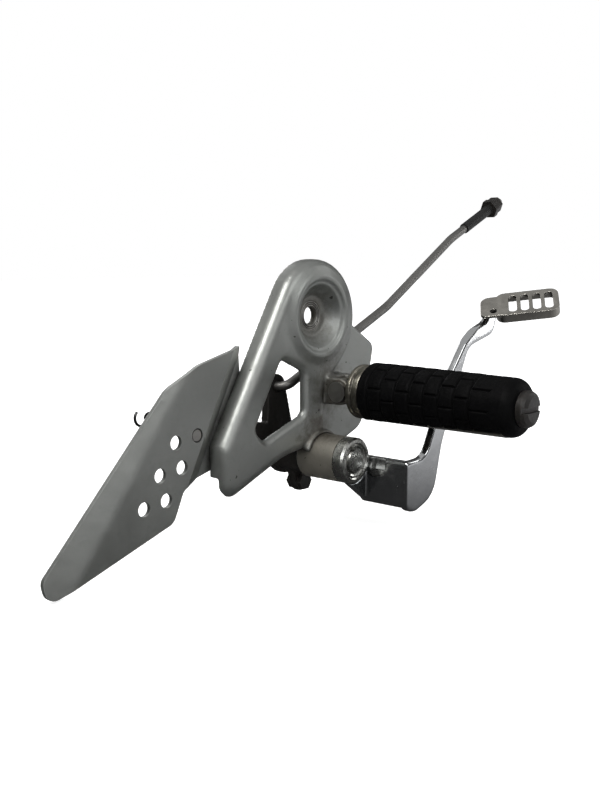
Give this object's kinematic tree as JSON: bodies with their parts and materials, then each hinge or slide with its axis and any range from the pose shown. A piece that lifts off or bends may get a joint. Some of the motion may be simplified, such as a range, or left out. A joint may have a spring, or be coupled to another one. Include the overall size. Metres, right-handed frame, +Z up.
{
  "type": "motorcycle footpeg",
  "caption": "Right-hand motorcycle footpeg on its cast hanger, with folding rubber peg, sheet heel guard, plated brake pedal, inner lever, brake rod and return spring.",
  "frame": {"origin": "centre of the top bolt hole on the hanger's mounting face, the face that lies against the motorcycle's frame", "axes": "+X forward, +Y inboard towards the motorcycle, so that the peg points to -Y, +Z up"},
  "size_m": [0.4504, 0.1783, 0.2175],
  "materials": {
    "silver_paint": "satin silver",
    "guard_paint": "satin silver",
    "tube_steel": "satin, worn",
    "plated_steel": "bright, scuffed",
    "pad_steel": "bright, dulled",
    "shaft_steel": "turned, welded",
    "peg_steel": "plated, dulled",
    "bare_steel": "dull",
    "rod_steel": "dull grey",
    "spring_steel": "dark",
    "dark_steel": "dull, slightly rusty",
    "black_sleeve": "matte",
    "bush_bronze": "plain",
    "black_rubber": "matte"
  },
  "bodies": {
    "hanger": {"hanger": "silver_paint", "pivot_tube": "tube_steel", "pedal_bushes": "bush_bronze", "heel_guard": "guard_paint", "guard_screws": "bare_steel", "guard_stud": "bare_steel", "peg_pin": "bare_steel", "peg_pin_washer": "bare_steel", "peg_split_pin": "bare_steel"},
    "peg": {"peg_forging": "peg_steel", "peg_rubber": "black_rubber", "peg_end_plug": "dark_steel"},
    "pedal": {"pedal_shaft": "shaft_steel", "pedal_arm": "plated_steel", "pedal_pad": "pad_steel", "shaft_washer": "bare_steel", "inner_lever": "dark_steel", "pinch_bolt": "dark_steel", "pinch_nut": "dark_steel"},
    "rod": {"brake_rod": "rod_steel", "rod_sleeve": "black_sleeve", "rod_lock_nut": "dark_steel", "rod_end_nut": "dark_steel", "rod_washer": "bare_steel", "rod_split_pin": "bare_steel"},
    "spring": {"return_spring": "spring_steel"}
  },
  "joints": [
    {"name": "peg_fold", "type": "hinge", "parent": "hanger", "child": "peg", "pos_m": [0.017, -0.023, -0.047], "axis": [-1, 0, 0], "range_deg": [0, 60]},
    {"name": "pedal_pivot", "type": "hinge", "parent": "hanger", "child": "pedal", "pos_m": [0.001, -0.019, -0.088], "axis": [0, 1, 0], "range_deg": [0, 15], "stiffness_Nm_per_rad": 4, "springref_deg": -14.32},
    {"name": "rod_pivot", "type": "hinge", "parent": "pedal", "child": "rod", "pos_m": [-0.00965, 0.018, -0.04531], "axis": [0, 1, 0], "range_deg": [-20, 20]},
    {"name": "spring_pivot", "type": "hinge", "parent": "pedal", "child": "spring", "pos_m": [-0.032, 0.018, -0.071], "axis": [0, 1, 0], "range_deg": [-15, 15]}
  ]
}
